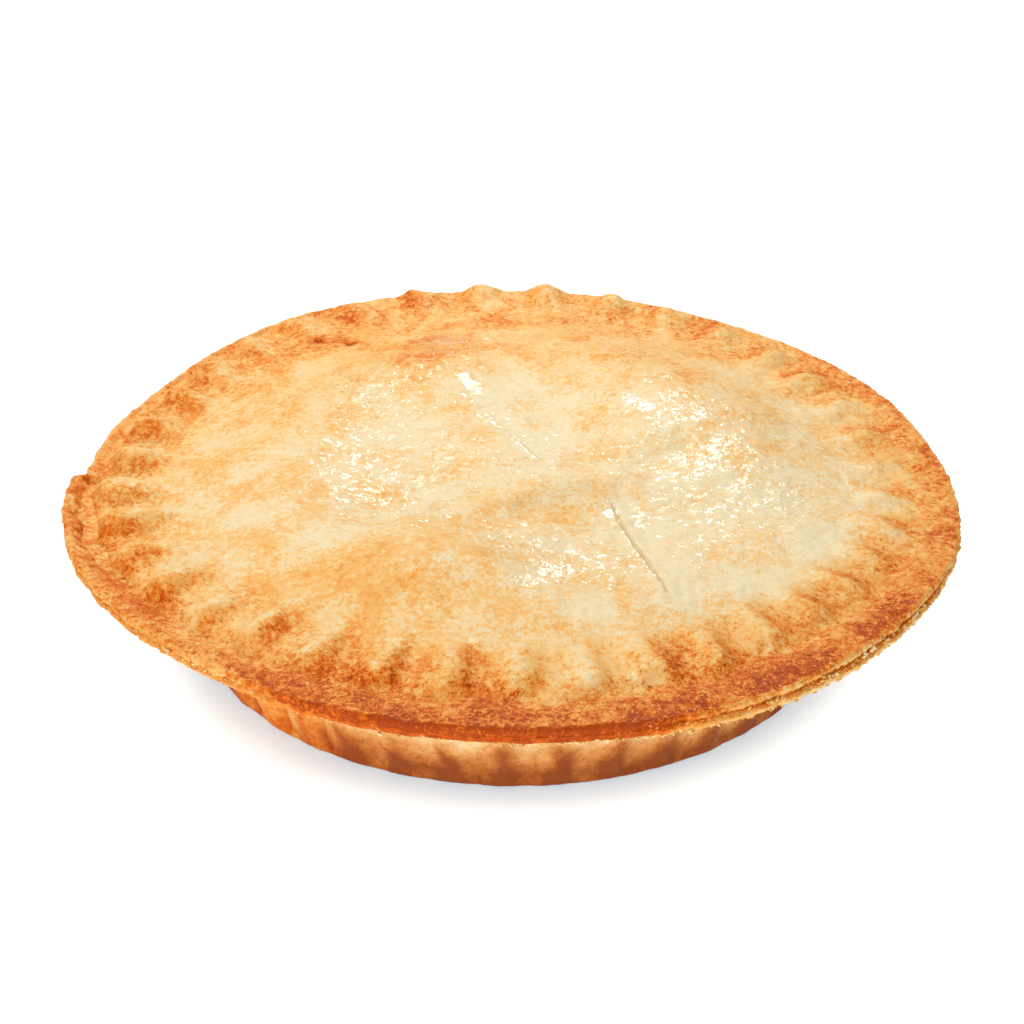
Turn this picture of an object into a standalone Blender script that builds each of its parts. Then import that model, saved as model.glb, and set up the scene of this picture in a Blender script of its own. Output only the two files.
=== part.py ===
"""A whole, uncut double-crust pie, out of its tin.

One closed solid. A stepped profile is turned about the upright axis, then its
skin is moved by the rules below: the domed lid with its sunken basins, the
fold that runs across it, the crimps pressed round the rim, the seam between
the two sheets of pastry and the fluted wall. Two knife slits are cut last.
Lengths are in metres and angles in degrees, counted from +X towards +Y. The
pie rests on z = 0 and -Y is the side the photo shows nearest.
"""
import math

import bmesh
import bpy
from mathutils import Matrix, Vector, noise

MM = 0.001

# Overall sizes, worked out from the photo.
RIM_RADIUS = 80.0 * MM
BASE_RADIUS = 60.2 * MM
WALL_TOP_RADIUS = 67.0 * MM
RIM_UNDERSIDE = 23.4 * MM
SHEET_THICKNESS = 1.5 * MM
SHEET_EDGE_ROUND = 0.5 * MM
SEAM_DEPTH = 0.5 * MM
BASE_ROUND = 2.2 * MM
ARC_MIDDLE = 1.0 - math.sqrt(0.5)
LID_LEVEL = RIM_UNDERSIDE + 2.0 * SHEET_THICKNESS

# The turned skin. The lid's rings stand closer together towards the crimps.
TURN_STEPS = 222
LID_RINGS = 16
LID_RING_CROWDING = 1.45
LIP_RING_RADIUS = 78.0 * MM
WALL_RINGS = 3

# The dome: its rise over the rim, where it starts and how wide its shoulder is.
DOME_RISE = 6.2 * MM
DOME_FOOT_RADIUS = 70.0 * MM
DOME_SHOULDER = 36.0 * MM

# Crimps: radial ridges with round toes and a flat lip outside them. Their ring
# sits off the rim's middle, so the lip is wide at the front, and at the back
# the crests run out over the cut edge.
CRIMPS = 37
CRIMP_HEIGHT = 1.95 * MM
CRIMP_OUTER_RADIUS = 74.8 * MM
CRIMP_OUTER_FALL = 3.0 * MM
CRIMP_TOE_ROUND = 2.4 * MM
CRIMP_LENGTH = 14.5 * MM
CRIMP_INNER_FADE = 9.0 * MM
CRIMP_RING_OFFSET = 3.4 * MM
CRIMP_RING_HEADING = 118.0
CRIMP_BACK_ANGLE = 85.0
CRIMP_BACK_SPREAD = 38.0
CRIMP_BACK_REACH = 4.2 * MM
CRIMP_FIRST_ANGLE = 185.4
CRIMP_DRIFT = 2.75
CRIMP_SHARPNESS = 1.4
CRIMP_BOLD_ANGLE = 150.0
CRIMP_BOLD_SHARE = 0.40
CRIMP_UNEVEN = 0.22
UNLIKE_START = 0.37
UNLIKE_STEP = 1.7

# The lip outside the crimps: the groove inside it, the stretch that curls up
# at the left and the broken end where that stretch begins.
LIP_GROOVE_WIDTH = 2.0 * MM
LIP_GROOVE_DEPTH = 0.6 * MM
LIP_CURL_ANGLE = 194.0
LIP_CURL_SPREAD = 13.0
LIP_CURL_HEIGHT = 1.4 * MM
LIP_CURL_WIDTH = 4.5 * MM
LIP_BREAK_ANGLE = 180.6
LIP_BREAK_DEPTH = 2.0 * MM
LIP_BREAK_LENGTH = 16.0

# The lower sheet shows beyond the lid's edge at the right front.
LOWER_SHEET_ANGLE = 312.0
LOWER_SHEET_SPREAD = 24.0
LOWER_SHEET_REACH = 0.7 * MM

# Slow unevenness of the rim: turns round the rim, cosine part, sine part.
# Inside REACH_START the wandering outline has no effect.
REACH_START = 60.0 * MM
RIM_REACH_WAVES = ((0, 0.28 * MM, 0.0), (1, -0.20 * MM, -0.20 * MM),
                   (2, -0.25 * MM, 0.10 * MM), (3, 0.27 * MM, -0.09 * MM),
                   (4, 0.30 * MM, 0.70 * MM), (5, -0.16 * MM, -0.52 * MM),
                   (6, 0.15 * MM, 0.15 * MM), (7, -0.18 * MM, -0.20 * MM),
                   (8, -0.07 * MM, -0.17 * MM))
RIM_HEIGHT_WAVES = ((1, -0.87 * MM, -0.09 * MM), (2, -0.98 * MM, 0.10 * MM))

# Fine raggedness of the cut edge.
NIBBLE_SIZE = 0.35 * MM
NIBBLES_PER_METRE = 260.0

# Flutes that the tin's pleats pressed into the wall, with ribs between them.
FLUTES = 42
FIRST_RIB_ANGLE = 251.2
FLUTE_DEPTH = 0.9 * MM
FLUTE_SHARPNESS = 1.6

# Swells (positive) and basins (negative) of the lid:
# x, y, half length, half width, heading of the length, height.
LID_SWELLS = (
    # basin at the left, deepest by its front wall
    (-24.0 * MM, -3.0 * MM, 19.0 * MM, 12.0 * MM, 100.0, -3.2 * MM),
    (-20.0 * MM, -18.0 * MM, 10.0 * MM, 6.0 * MM, 20.0, -2.2 * MM),
    # broad basin at the right front
    (29.0 * MM, -25.0 * MM, 23.0 * MM, 15.0 * MM, 15.0, -4.6 * MM),
    (6.0 * MM, -36.0 * MM, 10.0 * MM, 8.0 * MM, 80.0, -1.6 * MM),
    # long valley at the back, holding the first slit
    (5.0 * MM, 20.0 * MM, 21.0 * MM, 8.0 * MM, 110.0, -2.8 * MM),
    # shallow crease towards the right
    (27.0 * MM, 0.0 * MM, 10.0 * MM, 3.2 * MM, 32.0, -1.3 * MM),
    # mound at the front left
    (-21.0 * MM, -40.0 * MM, 18.0 * MM, 7.5 * MM, 8.0, 2.8 * MM),
    # swells behind the basins
    (-33.0 * MM, 32.0 * MM, 18.0 * MM, 10.0 * MM, 35.0, 0.9 * MM),
    (31.0 * MM, 30.0 * MM, 20.0 * MM, 11.0 * MM, 150.0, 1.2 * MM),
    # small blister at the foot of the fold
    (-17.0 * MM, -23.5 * MM, 2.6 * MM, 2.2 * MM, 0.0, 0.7 * MM),
)

# The fold: a soft ridge through these points of the lid.
FOLD_POINTS = ((-18.5 * MM, -27.0 * MM), (-8.0 * MM, -20.5 * MM), (2.7 * MM, -14.5 * MM),
               (18.7 * MM, -6.8 * MM))
FOLD_HEIGHT = 2.2 * MM
FOLD_WIDTH = 4.0 * MM

# Knife slits: start x, y, end x, y on the lid, and half width of the opening.
SLITS = ((-10.3 * MM, 23.8 * MM, 4.5 * MM, -1.8 * MM, 0.5 * MM),
         (16.7 * MM, -14.0 * MM, 25.6 * MM, -45.3 * MM, 0.7 * MM))
SLIT_DEPTH = 1.5 * MM
SLIT_STATIONS = 7
BLADE_TIP_SHARE = 0.06
BLADE_SINK_SHARE = 1.2

# How near two points of the turned skin must be to count as one, and the
# angle between faces that stays a hard edge.
MERGE = 0.01 * MM
HARD_EDGE = 50.0

PASTRY_COLOUR = (0.78, 0.43, 0.15, 1.0)
PASTRY_ROUGHNESS = 0.5


def ease(t):
    """0 below 0, 1 above 1 and a smooth S between."""
    t = min(max(t, 0.0), 1.0)
    return t * t * (3.0 - 2.0 * t)


def waves(angle, terms):
    """Sum of slow waves round the rim at an angle in radians."""
    return sum(c * math.cos(n * angle) + s * math.sin(n * angle) for n, c, s in terms)


def degrees_past(angle, mark):
    """Degrees from the mark to an angle in radians, from -180 to 180."""
    return (math.degrees(angle) - mark + 180.0) % 360.0 - 180.0


def near_angle(angle, mark, spread):
    """1 at the mark, falling off over the spread."""
    return math.exp(-(degrees_past(angle, mark) / spread) ** 2)


def crimp_phase(angle):
    """Phase in radians that is a whole turn at every crimp's crest."""
    turn = angle - math.radians(CRIMP_FIRST_ANGLE)
    drift = math.radians(CRIMP_DRIFT) * (1.0 - math.cos(turn))
    return CRIMPS * (turn + drift)


def ridge(phase, sharpness):
    """1 where the phase is a whole turn and 0 half way between."""
    return (0.5 + 0.5 * math.cos(phase)) ** sharpness


def unlike(number):
    """A share between -1 and 1 that differs from crimp to crimp."""
    return noise.noise(Vector((UNLIKE_START + UNLIKE_STEP * number, 0.5, 0.5)))


def swell(x, y, shape):
    """Height of one swell or basin of the lid at x, y."""
    middle_x, middle_y, length, width, heading, height = shape
    turn = math.radians(heading)
    along = (x - middle_x) * math.cos(turn) + (y - middle_y) * math.sin(turn)
    across = (y - middle_y) * math.cos(turn) - (x - middle_x) * math.sin(turn)
    return height * math.exp(-0.5 * ((along / length) ** 2 + (across / width) ** 2))


def gap_to_line(x, y, a, b):
    """Distance from x, y to the straight piece between a and b."""
    run_x = b[0] - a[0]
    run_y = b[1] - a[1]
    share = ((x - a[0]) * run_x + (y - a[1]) * run_y) / (run_x ** 2 + run_y ** 2)
    share = min(max(share, 0.0), 1.0)
    return math.hypot(x - a[0] - share * run_x, y - a[1] - share * run_y)


def fold(x, y):
    """Height of the fold at x, y: a ridge along its points."""
    gap = min(gap_to_line(x, y, a, b) for a, b in zip(FOLD_POINTS, FOLD_POINTS[1:]))
    return FOLD_HEIGHT * math.exp(-((gap / FOLD_WIDTH) ** 2))


def crimp_end(angle):
    """Radius at which the crimps end and the lip begins."""
    offset = CRIMP_RING_OFFSET * math.cos(angle - math.radians(CRIMP_RING_HEADING))
    at_back = CRIMP_BACK_REACH * near_angle(angle, CRIMP_BACK_ANGLE, CRIMP_BACK_SPREAD)
    return CRIMP_OUTER_RADIUS + offset + at_back


def crimp(radius, angle):
    """Height of the crimps over the rim's plane."""
    phase = crimp_phase(angle)
    number = round(phase / math.tau)
    from_crest = phase / math.tau - number
    uneven = 1.0 + CRIMP_UNEVEN * unlike(number % CRIMPS)
    bold = 1.0 + CRIMP_BOLD_SHARE * math.cos(angle - math.radians(CRIMP_BOLD_ANGLE))
    end = crimp_end(angle) - CRIMP_TOE_ROUND * (2.0 * from_crest) ** 2
    outer = ease((end - radius) / CRIMP_OUTER_FALL)
    inner = ease((radius - end + CRIMP_LENGTH * uneven) / CRIMP_INNER_FADE)
    return CRIMP_HEIGHT * bold * uneven * outer * inner * ridge(phase, CRIMP_SHARPNESS)


def curl(angle):
    """How far the lip curls up at an angle."""
    return LIP_CURL_HEIGHT * near_angle(angle, LIP_CURL_ANGLE, LIP_CURL_SPREAD)


def lip(radius, angle):
    """Height of the lip over the rim's plane, with the groove inside it."""
    start = crimp_end(angle)
    outside = ease((radius - start) / LIP_CURL_WIDTH)
    groove = math.exp(-(((radius - start) / LIP_GROOVE_WIDTH) ** 2))
    groove *= ease((RIM_RADIUS - radius) / LIP_GROOVE_WIDTH)
    return curl(angle) * outside - LIP_GROOVE_DEPTH * groove


def lid_top(x, y):
    """Height of the lid's skin at x, y."""
    radius = math.hypot(x, y)
    angle = math.atan2(y, x)
    inside = ease((DOME_FOOT_RADIUS - radius) / DOME_SHOULDER)
    relief = fold(x, y) + sum(swell(x, y, shape) for shape in LID_SWELLS)
    warp = waves(angle, RIM_HEIGHT_WAVES) * ease(radius / RIM_RADIUS)
    return LID_LEVEL + inside * (DOME_RISE + relief) + crimp(radius, angle) + lip(radius, angle) + warp


def rim_reach(angle, height):
    """How far the rim's edge stands out or in from its plain circle."""
    past_break = -degrees_past(angle, LIP_BREAK_ANGLE)
    broken = LIP_BREAK_DEPTH * ease(1.0 - past_break / LIP_BREAK_LENGTH) if past_break > 0.0 else 0.0
    spot = Vector((math.cos(angle), math.sin(angle), 0.0)) * RIM_RADIUS
    spot.z = height
    ragged = NIBBLE_SIZE * noise.noise(spot * NIBBLES_PER_METRE)
    lower = 0.0
    if height < LID_LEVEL - SHEET_THICKNESS - MERGE:
        lower = LOWER_SHEET_REACH * near_angle(angle, LOWER_SHEET_ANGLE, LOWER_SHEET_SPREAD)
    return waves(angle, RIM_REACH_WAVES) - broken + ragged + lower


def turned_profile():
    """Radius and height of the blank's outline, from the lid's middle to the base's."""
    points = [(0.0, LID_LEVEL)]
    for ring in range(1, LID_RINGS + 1):
        share = 1.0 - (1.0 - ring / LID_RINGS) ** LID_RING_CROWDING
        points.append((LIP_RING_RADIUS * share, LID_LEVEL))
    points.append((RIM_RADIUS, LID_LEVEL - SHEET_EDGE_ROUND))
    points.append((RIM_RADIUS - SEAM_DEPTH, LID_LEVEL - SHEET_THICKNESS))
    points.append((RIM_RADIUS, RIM_UNDERSIDE + SHEET_EDGE_ROUND))
    points.append((RIM_RADIUS - SHEET_EDGE_ROUND, RIM_UNDERSIDE))
    for ring in range(WALL_RINGS + 1):
        share = ring / WALL_RINGS
        radius = WALL_TOP_RADIUS + (BASE_RADIUS - WALL_TOP_RADIUS) * share
        points.append((radius, RIM_UNDERSIDE + (BASE_ROUND - RIM_UNDERSIDE) * share))
    points.append((BASE_RADIUS - ARC_MIDDLE * BASE_ROUND, ARC_MIDDLE * BASE_ROUND))
    points.append((BASE_RADIUS - BASE_ROUND, 0.0))
    points.append((0.0, 0.0))
    return points


def finished_shape(thing):
    """Replace an object's mesh by what its modifiers make of it."""
    graph = bpy.context.evaluated_depsgraph_get()
    finished = bpy.data.meshes.new_from_object(thing.evaluated_get(graph))
    thing.modifiers.clear()
    thing.data = finished


def turn(points, name):
    """Turn a profile about the upright axis and return the finished object."""
    mesh = bpy.data.meshes.new(name)
    sketch = bmesh.new()
    corners = [sketch.verts.new((radius, 0.0, height)) for radius, height in points]
    for a, b in zip(corners, corners[1:]):
        sketch.edges.new((a, b))
    sketch.to_mesh(mesh)
    sketch.free()
    blank = bpy.data.objects.new(name, mesh)
    bpy.context.scene.collection.objects.link(blank)
    screw = blank.modifiers.new("turn", "SCREW")
    screw.axis = "Z"
    screw.steps = TURN_STEPS
    screw.render_steps = TURN_STEPS
    screw.use_merge_vertices = True
    screw.merge_threshold = MERGE
    finished_shape(blank)
    return blank


def shape_lid(vertex, radius, angle):
    """Lift one point of the blank's flat top to the lid's skin."""
    outward = ease((radius - REACH_START) / (RIM_RADIUS - REACH_START))
    grown = radius + outward * rim_reach(angle, LID_LEVEL)
    height = lid_top(radius * math.cos(angle), radius * math.sin(angle))
    vertex.co = (grown * math.cos(angle), grown * math.sin(angle), height)


def shape_edge(vertex, radius, angle):
    """Move one point of the rim's cut edge or of its underside's outer part."""
    height = vertex.co.z
    grown = radius + rim_reach(angle, height)
    height += waves(angle, RIM_HEIGHT_WAVES) + curl(angle) + crimp(RIM_RADIUS, angle)
    vertex.co = (grown * math.cos(angle), grown * math.sin(angle), height)


def shape_wall(vertex, radius, angle):
    """Press the flutes into one point of the wall."""
    height = vertex.co.z
    flute_phase = FLUTES * (angle - math.radians(FIRST_RIB_ANGLE))
    depth = FLUTE_DEPTH * ease(height / BASE_ROUND) * (1.0 - ridge(flute_phase, FLUTE_SHARPNESS))
    up = ease((height - BASE_ROUND) / (RIM_UNDERSIDE - BASE_ROUND))
    height += waves(angle, RIM_HEIGHT_WAVES) * up
    vertex.co = ((radius - depth) * math.cos(angle), (radius - depth) * math.sin(angle), height)


def shape_skin(blank):
    """Move the turned skin by the pie's rules, zone by zone."""
    for vertex in blank.data.vertices:
        radius = vertex.co.xy.length
        angle = math.atan2(vertex.co.y, vertex.co.x)
        if vertex.co.z > LID_LEVEL - MERGE:
            shape_lid(vertex, radius, angle)
        elif radius > WALL_TOP_RADIUS + MERGE:
            shape_edge(vertex, radius, angle)
        elif radius > MERGE:
            shape_wall(vertex, radius, angle)


def knife(slit, name):
    """A thin blade as long as one slit, standing in the lid and following its skin."""
    start_x, start_y, end_x, end_y, half_width = slit
    run_x = end_x - start_x
    run_y = end_y - start_y
    length = math.hypot(run_x, run_y)
    blade = bmesh.new()
    bmesh.ops.create_cube(blade, size=2.0)
    long_edges = [edge for edge in blade.edges
                  if abs(edge.verts[0].co.x - edge.verts[1].co.x) > 1.0]
    bmesh.ops.subdivide_edges(blade, edges=long_edges, cuts=SLIT_STATIONS)
    for vertex in blade.verts:
        share = 0.5 + 0.5 * vertex.co.x
        opening = math.sqrt(max(0.0, 1.0 - vertex.co.x ** 2)) + BLADE_TIP_SHARE
        on_x = start_x + share * run_x
        on_y = start_y + share * run_y
        height = lid_top(on_x, on_y)
        if vertex.co.z > 0.0:
            off = vertex.co.y * half_width * opening
            height += SLIT_DEPTH
        else:
            off = vertex.co.y * half_width * BLADE_TIP_SHARE
            height += SLIT_DEPTH * (BLADE_SINK_SHARE - 1.0 - BLADE_SINK_SHARE * opening)
        vertex.co = (on_x - off * run_y / length, on_y + off * run_x / length, height)
    bmesh.ops.recalc_face_normals(blade, faces=blade.faces)
    mesh = bpy.data.meshes.new(name)
    blade.to_mesh(mesh)
    blade.free()
    tool = bpy.data.objects.new(name, mesh)
    bpy.context.scene.collection.objects.link(tool)
    return tool


def cut_slits(solid):
    """Cut every vent slit into the lid."""
    for number, slit in enumerate(SLITS):
        tool = knife(slit, "knife_%d" % number)
        cut = solid.modifiers.new("slit", "BOOLEAN")
        cut.operation = "DIFFERENCE"
        cut.solver = "EXACT"
        cut.object = tool
        finished_shape(solid)
        bpy.data.objects.remove(tool)


def centre(solid):
    """Bring the middle of the solid's extent over the origin."""
    xs = [vertex.co.x for vertex in solid.data.vertices]
    ys = [vertex.co.y for vertex in solid.data.vertices]
    middle = ((min(xs) + max(xs)) / 2.0, (min(ys) + max(ys)) / 2.0, 0.0)
    solid.data.transform(Matrix.Translation(middle).inverted())


def shade(solid):
    """Shade smooth, but keep hard edges hard: the rim's cut edge and the slits."""
    skin = bmesh.new()
    skin.from_mesh(solid.data)
    for face in skin.faces:
        face.smooth = True
    for edge in skin.edges:
        edge.smooth = edge.calc_face_angle(0.0) < math.radians(HARD_EDGE)
    skin.to_mesh(solid.data)
    skin.free()


def finish(label, colour, roughness):
    """A plain finish with one colour."""
    material = bpy.data.materials.new(label)
    material.use_nodes = True
    shader = material.node_tree.nodes["Principled BSDF"]
    shader.inputs["Base Color"].default_value = colour
    shader.inputs["Roughness"].default_value = roughness
    return material


def build():
    """Make the pie in a collection of its own."""
    for thing in list(bpy.data.objects):
        bpy.data.objects.remove(thing)
    pie = turn(turned_profile(), "pie")
    shape_skin(pie)
    cut_slits(pie)
    centre(pie)
    shade(pie)
    pie.data.materials.clear()
    pie.data.materials.append(finish("baked_pastry", PASTRY_COLOUR, PASTRY_ROUGHNESS))
    shelf = bpy.data.collections.new("double_crust_pie")
    bpy.context.scene.collection.children.link(shelf)
    bpy.context.scene.collection.objects.unlink(pie)
    shelf.objects.link(pie)


build()
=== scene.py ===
"""Looks of a whole double-crust pie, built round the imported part.

The pie has two sheets of pastry. The lid sheet is domed, with sunken basins, a
fold and two knife slits, and is crimped to the base crust's flange along a
ragged seam. The base crust has a fluted, tapering wall and a flat bottom.
Loose flakes and crumbs of pastry cling to the cut edge.

Sizes in the classes are in millimetres and angles in degrees, counted from +X
towards +Y. -Y is the side the photo shows nearest. Finished meshes are in
metres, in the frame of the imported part.
"""

import itertools
import logging
import math
from dataclasses import dataclass, field
from enum import Enum
from typing import Any, Callable, Sequence

import bmesh
import bpy
import numpy as np
from mathutils import Matrix, Vector, noise

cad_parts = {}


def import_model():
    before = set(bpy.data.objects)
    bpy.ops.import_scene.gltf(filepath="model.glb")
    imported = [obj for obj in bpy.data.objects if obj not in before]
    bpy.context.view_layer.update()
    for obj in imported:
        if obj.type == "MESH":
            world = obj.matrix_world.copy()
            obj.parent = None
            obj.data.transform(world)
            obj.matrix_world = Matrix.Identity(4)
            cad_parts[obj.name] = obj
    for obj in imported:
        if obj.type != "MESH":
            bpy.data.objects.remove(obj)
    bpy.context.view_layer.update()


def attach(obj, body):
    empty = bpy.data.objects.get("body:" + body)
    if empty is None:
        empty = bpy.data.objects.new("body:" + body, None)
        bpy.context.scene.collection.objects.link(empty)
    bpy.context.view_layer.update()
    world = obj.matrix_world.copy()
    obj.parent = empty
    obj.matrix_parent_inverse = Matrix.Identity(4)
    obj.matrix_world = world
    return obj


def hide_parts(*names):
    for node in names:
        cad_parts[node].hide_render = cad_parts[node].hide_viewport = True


Array = np.ndarray
MM = 0.001
NODE = "pie"
BODY = "root"

log = logging.getLogger("pie")


class Station(Enum):
    """What part of a sheet a ring of its skin belongs to."""

    TOP = 0
    EDGE = 1
    UNDER = 2
    WALL = 3
    BOTTOM = 4


# --------------------------------------------------------------------------
# Unevenness
# --------------------------------------------------------------------------


class Grain:
    """Seeded noise over arrays of points, so that each run gives the same pastry."""

    def __init__(self, seed: int) -> None:
        """Draw the table of directions and centres.

        Args:
            seed: number that fixes the draw.
        """
        draw = np.random.default_rng(seed)
        self.order: Array = np.tile(draw.permutation(256), 2)
        ways = draw.normal(size=(256, 3))
        self.ways: Array = ways / np.linalg.norm(ways, axis=1, keepdims=True)
        self.scatter: Array = draw.random((256, 3))

    def key(self, cell: Array) -> Array:
        """Table entry of each whole-numbered cell.

        Args:
            cell: whole-numbered cells, one row each.

        Returns:
            One entry number for each cell.
        """
        at = cell & 255
        return self.order[self.order[self.order[at[:, 0]] + at[:, 1]] + at[:, 2]]

    def plain(self, points: Array, size: float) -> Array:
        """Soft blobs.

        Args:
            points: points in millimetres, one row each.
            size: width of a blob in millimetres.

        Returns:
            A share from about -1 to 1 for each point.
        """
        spot = points / size
        cell = np.floor(spot).astype(np.int64)
        part = spot - cell
        fade = part ** 3 * (part * (part * 6.0 - 15.0) + 10.0)
        total = np.zeros(len(points))
        for corner in itertools.product((0, 1), repeat=3):
            step = np.array(corner)
            share = np.prod(np.where(step, fade, 1.0 - fade), axis=1)
            way = self.ways[self.key(cell + step)]
            total += share * np.einsum("ij,ij->i", way, part - step)
        return total * 1.7

    def rough(self, points: Array, size: float, layers: int, keep: float = 0.5) -> Array:
        """Blobs with finer blobs on them.

        Args:
            points: points in millimetres, one row each.
            size: width of the largest blobs in millimetres.
            layers: how many sizes, each half the last.
            keep: height of each size as a share of the last.

        Returns:
            A share from about -1 to 1 for each point.
        """
        total = np.zeros(len(points))
        height = 1.0
        for layer in range(layers):
            total += height * self.plain(points + 31.7 * layer, size / 2.0 ** layer)
            height *= keep
        return total

    def creased(self, points: Array, size: float) -> Array:
        """Sharp creases between soft swells: 1 in a crease, falling to 0."""
        return 1.0 - np.clip(np.abs(self.plain(points, size)) * 3.0, 0.0, 1.0)

    def pocks(self, points: Array, size: float) -> tuple[Array, Array]:
        """Scattered centres, as of crumbs or pores.

        Args:
            points: points in millimetres, one row each.
            size: mean spacing of the centres in millimetres.

        Returns:
            Distance to the nearest centre and to the next one, in spacings.
        """
        spot = points / size
        cell = np.floor(spot).astype(np.int64)
        near = np.full(len(points), 9.0)
        after = np.full(len(points), 9.0)
        for step in itertools.product((-1, 0, 1), repeat=3):
            at = cell + np.array(step)
            gap = np.linalg.norm(spot - at - self.scatter[self.key(at)], axis=1)
            after = np.minimum(after, np.maximum(near, gap))
            near = np.minimum(near, gap)
        return near, after


def ease(t: Array) -> Array:
    """0 below 0, 1 above 1 and a smooth S between."""
    t = np.clip(t, 0.0, 1.0)
    return t * t * (3.0 - 2.0 * t)


def past(angle: Array, mark: float) -> Array:
    """Degrees from the mark to angles in radians, from -180 to 180."""
    return (np.degrees(angle) - mark + 180.0) % 360.0 - 180.0


def near_angle(angle: Array, mark: float, spread: float) -> Array:
    """1 at the mark, falling off over the spread."""
    return np.exp(-(past(angle, mark) / spread) ** 2)


# --------------------------------------------------------------------------
# Form of the pie
# --------------------------------------------------------------------------


@dataclass(frozen=True)
class Swell:
    """One soft swell (positive height) or basin (negative height) of the lid."""

    x: float
    y: float
    length: float
    width: float
    heading: float
    height: float

    def share(self, x: Array, y: Array) -> Array:
        """1 at the middle, falling to 0 round it.

        Args:
            x: places on the lid.
            y: places on the lid.

        Returns:
            The share at each place.
        """
        turn = math.radians(self.heading)
        along = (x - self.x) * math.cos(turn) + (y - self.y) * math.sin(turn)
        across = (y - self.y) * math.cos(turn) - (x - self.x) * math.sin(turn)
        return np.exp(-0.5 * ((along / self.length) ** 2 + (across / self.width) ** 2))


@dataclass(frozen=True)
class Slit:
    """One knife slit: its two ends, half its opening, its depth and the step across it."""

    start: tuple[float, float]
    end: tuple[float, float]
    half_width: float
    depth: float
    step: float
    lip_height: float
    lip_width: float = 0.9
    healed: float = -1.4

    def place(self, x: Array, y: Array) -> tuple[Array, Array]:
        """Where points lie along and across the slit.

        Args:
            x: places on the lid.
            y: places on the lid.

        Returns:
            Share along, from -1 to 1 between the ends, and distance across.
        """
        run = np.array(self.end) - np.array(self.start)
        length = float(np.hypot(*run))
        gap_x = x - 0.5 * (self.start[0] + self.end[0])
        gap_y = y - 0.5 * (self.start[1] + self.end[1])
        along = (gap_x * run[0] + gap_y * run[1]) / length
        across = (gap_y * run[0] - gap_x * run[1]) / length
        return along / (0.5 * length), across

    def opened(self, along: Array) -> Array:
        """How far the cut gapes along the slit: it closes at both ends and where it healed."""
        return np.sqrt(np.clip(1.0 - along ** 2, 0.0, 1.0)) * ease((along - self.healed) / 0.4)

    def relief(self, x: Array, y: Array, stray: Array) -> Array:
        """Height that the cut, its raised lips and the sunken side add.

        Args:
            x: places on the lid.
            y: places on the lid.
            stray: how far the cut strays sideways at each place.

        Returns:
            The height at each place.
        """
        along, across = self.place(x, y)
        open_share = np.sqrt(np.clip(1.0 - along ** 2, 0.0, 1.0))
        side = across - stray
        cut = -self.depth * self.opened(along) * np.exp(-(side / self.half_width) ** 4)
        lips = self.lip_height * open_share * np.exp(
            -((np.abs(side) - self.half_width - 0.6 * self.lip_width) / self.lip_width) ** 2)
        sunk = -self.step * open_share * ease(side / self.half_width) * np.exp(-(side / 4.0) ** 2)
        return cut + lips + sunk


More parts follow.
